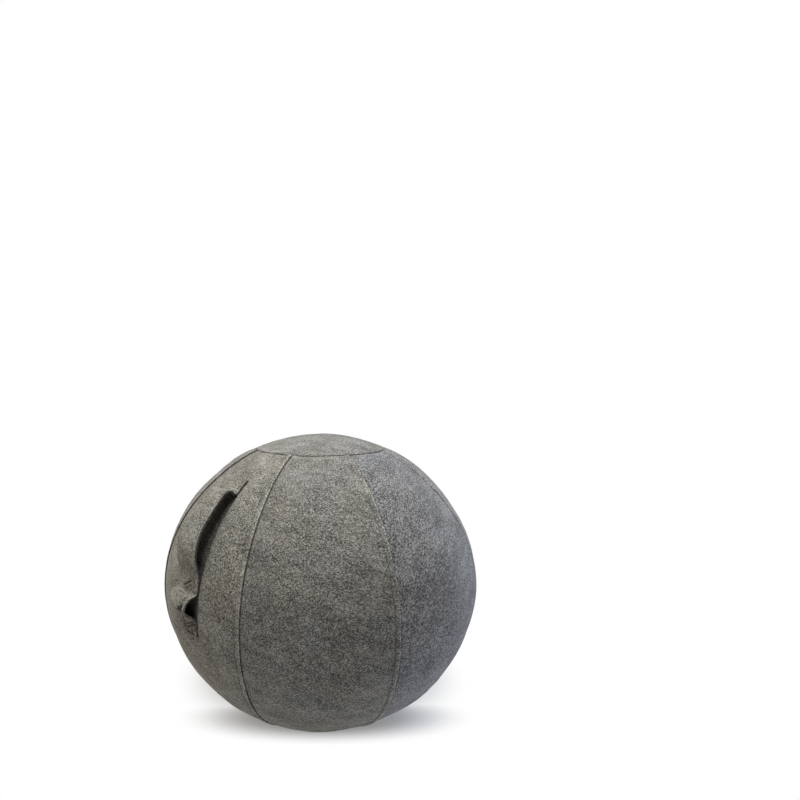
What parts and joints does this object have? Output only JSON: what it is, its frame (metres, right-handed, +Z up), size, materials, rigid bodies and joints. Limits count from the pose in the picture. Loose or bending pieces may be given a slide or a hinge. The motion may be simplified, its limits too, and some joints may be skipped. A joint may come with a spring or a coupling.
{
  "type": "sitting ball",
  "caption": "Inflated sitting ball in a sewn grey felt cover with meridian seams, a round top cap, a strap handle between two slits and a zip round its flat base.",
  "frame": {"origin": "on the floor at the centre of the flat base, under the ball's axis", "axes": "+Z up, handle towards -X"},
  "size_m": [0.6648, 0.65, 0.607],
  "materials": {
    "felt": "melange wool-look felt, light and dark grey fibres",
    "base_cloth": "dark coated non-slip cloth",
    "webbing": "black woven webbing",
    "lining": "black lining cloth",
    "seam_tape": "woven seam tape",
    "bladder": "soft grey vinyl",
    "plug": "white moulded plastic",
    "zip_tape": "black woven zip tape",
    "zip_coil": "black nylon coil",
    "zip_metal": "dark nickel"
  },
  "bodies": {
    "ball": {"handle_panel": "felt", "cover_panel_1": "felt", "cover_panel_2": "felt", "cover_panel_3": "felt", "cover_panel_4": "felt", "cover_panel_5": "felt", "cover_panel_6": "felt", "cover_panel_7": "felt", "top_cap": "felt", "base_panel": "base_cloth", "base_hinge_strip": "felt", "handle_backing": "lining", "cap_seam_tape": "seam_tape", "inner_ball": "bladder", "valve_seat": "bladder", "air_plug": "plug", "zip_tape_outer": "zip_tape", "zip_tape_inner": "zip_tape", "zip_coil_outer": "zip_coil", "zip_coil_inner": "zip_coil", "zip_stops": "zip_metal", "seam_tape_1": "seam_tape", "seam_tape_2": "seam_tape", "seam_tape_3": "seam_tape", "seam_tape_4": "seam_tape", "seam_tape_5": "seam_tape", "seam_tape_6": "seam_tape", "seam_tape_7": "seam_tape", "seam_tape_8": "seam_tape"},
    "handle": {"handle_strap": "felt", "handle_grip_lining": "webbing"},
    "zip_slider": {"zip_slider": "zip_metal"},
    "zip_pull": {"zip_pull": "zip_metal"}
  },
  "joints": [
    {"name": "handle_lift", "type": "slide", "parent": "ball", "child": "handle", "axis": [-0.788, 0, 0.6157], "range_m": [-0.008, 0.02], "stiffness_N_per_m": 300, "deforming": ["handle_strap"]},
    {"name": "zip_run", "type": "hinge", "parent": "ball", "child": "zip_slider", "pos_m": [0, 0, 0.02], "axis": [0, 0, 1], "range_deg": [0, 257]},
    {"name": "zip_pull_swing", "type": "hinge", "parent": "zip_slider", "child": "zip_pull", "pos_m": [0.01711, -0.15031, 0.01691], "axis": [-0.1005, 0.8834, -0.4576], "range_deg": [-75, 75]}
  ]
}
